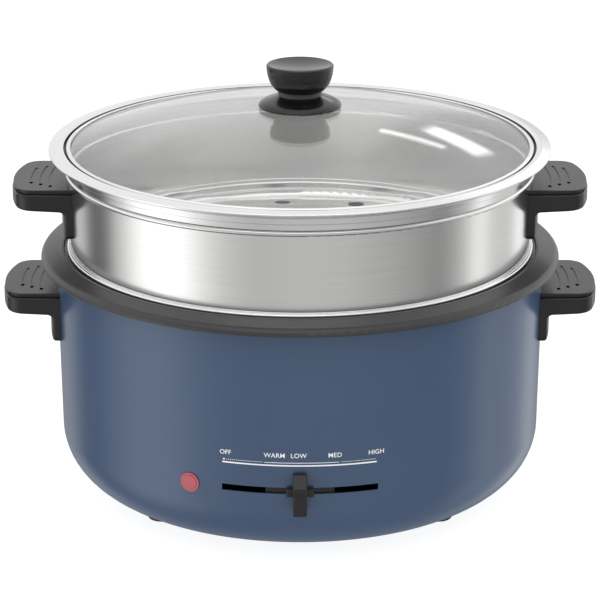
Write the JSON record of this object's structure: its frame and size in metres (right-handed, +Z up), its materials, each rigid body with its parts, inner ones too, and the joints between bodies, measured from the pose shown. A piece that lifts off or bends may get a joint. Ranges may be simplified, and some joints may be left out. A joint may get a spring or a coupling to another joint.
{
  "type": "electric hot pot with steamer tier and lid",
  "caption": "Round electric hot pot: a blue heated base with a fixed non-stick pan, a lift-off steel steamer tier, a lift-off domed glass lid, side handles and a slide heat control.",
  "frame": {"origin": "on the pot's vertical axis, at the table under the feet", "axes": "+Z up, -Y towards the control panel, X through the side handles"},
  "size_m": [0.3704, 0.322, 0.2684],
  "materials": {
    "housing_enamel": "satin metallic slate-blue enamel on steel",
    "nonstick": "satin charcoal non-stick coating on aluminium",
    "steamer_steel": "fine brushed stainless steel",
    "polished_steel": "polished stainless steel",
    "zinc_steel": "dull zinc-plated steel",
    "lid_glass": "clear tempered glass",
    "black_phenolic": "semi-gloss black phenolic moulding",
    "black_rubber": "matt black rubber",
    "grey_silicone": "matt grey silicone",
    "red_lens": "clear red lens",
    "cast_aluminium": "as-cast aluminium",
    "brass": "machined brass",
    "nickel": "nickel-plated steel",
    "ivory_ceramic": "unglazed steatite ceramic",
    "wire_sleeve": "silicone wire sleeve"
  },
  "bodies": {
    "base": {"outer_housing": "housing_enamel", "base_plate": "zinc_steel", "foot_front_left": "black_rubber", "foot_rear_left": "black_rubber", "foot_front_right": "black_rubber", "foot_rear_right": "black_rubber", "inner_pan": "nonstick", "rim_gasket": "black_rubber", "heater_plate": "cast_aluminium", "heating_element": "cast_aluminium", "element_terminals": "nickel", "heat_shield": "zinc_steel", "pan_standoffs": "zinc_steel", "base_screws": "polished_steel", "plate_screws": "zinc_steel", "thermostat_bracket": "zinc_steel", "thermostat_body": "ivory_ceramic", "thermostat_bush": "brass", "bush_nut": "brass", "thermal_fuse": "nickel", "fuse_clip": "zinc_steel", "indicator_lens": "red_lens", "indicator_clip": "zinc_steel", "neon_lamp": "lid_glass", "power_inlet": "black_phenolic", "inlet_pins": "brass", "inlet_screws": "polished_steel", "terminal_block": "ivory_ceramic", "supply_lead_left": "wire_sleeve", "supply_lead_right": "wire_sleeve", "heater_lead_left": "wire_sleeve", "heater_lead_right": "wire_sleeve", "base_handle_left": "black_phenolic", "base_handle_right": "black_phenolic", "base_handle_screws": "polished_steel"},
    "control": {"thermostat_spindle": "zinc_steel", "control_lever": "zinc_steel", "lever_nut": "zinc_steel", "slot_shutter": "black_phenolic", "slider_knob": "black_phenolic"},
    "steamer": {"steamer_body": "steamer_steel", "steamer_handle_left": "black_phenolic", "steamer_handle_right": "black_phenolic", "steamer_handle_screws": "polished_steel"},
    "lid": {"lid_ring": "steamer_steel", "lid_glass": "lid_glass", "knob_seal": "grey_silicone", "knob_skirt": "black_phenolic", "knob_collar": "grey_silicone", "knob_grip": "black_phenolic", "knob_screw": "polished_steel", "knob_washer": "grey_silicone"}
  },
  "joints": [
    {"name": "control_swing", "type": "hinge", "parent": "base", "child": "control", "pos_m": [0, 0, 0.03], "axis": [0, 0, 1], "range_deg": [-14, 14]},
    {"name": "steamer_lift", "type": "slide", "parent": "base", "child": "steamer", "axis": [0, 0, 1], "range_m": [0, 0.12]},
    {"name": "lid_lift", "type": "slide", "parent": "steamer", "child": "lid", "axis": [0, 0, 1], "range_m": [0, 0.12]}
  ]
}
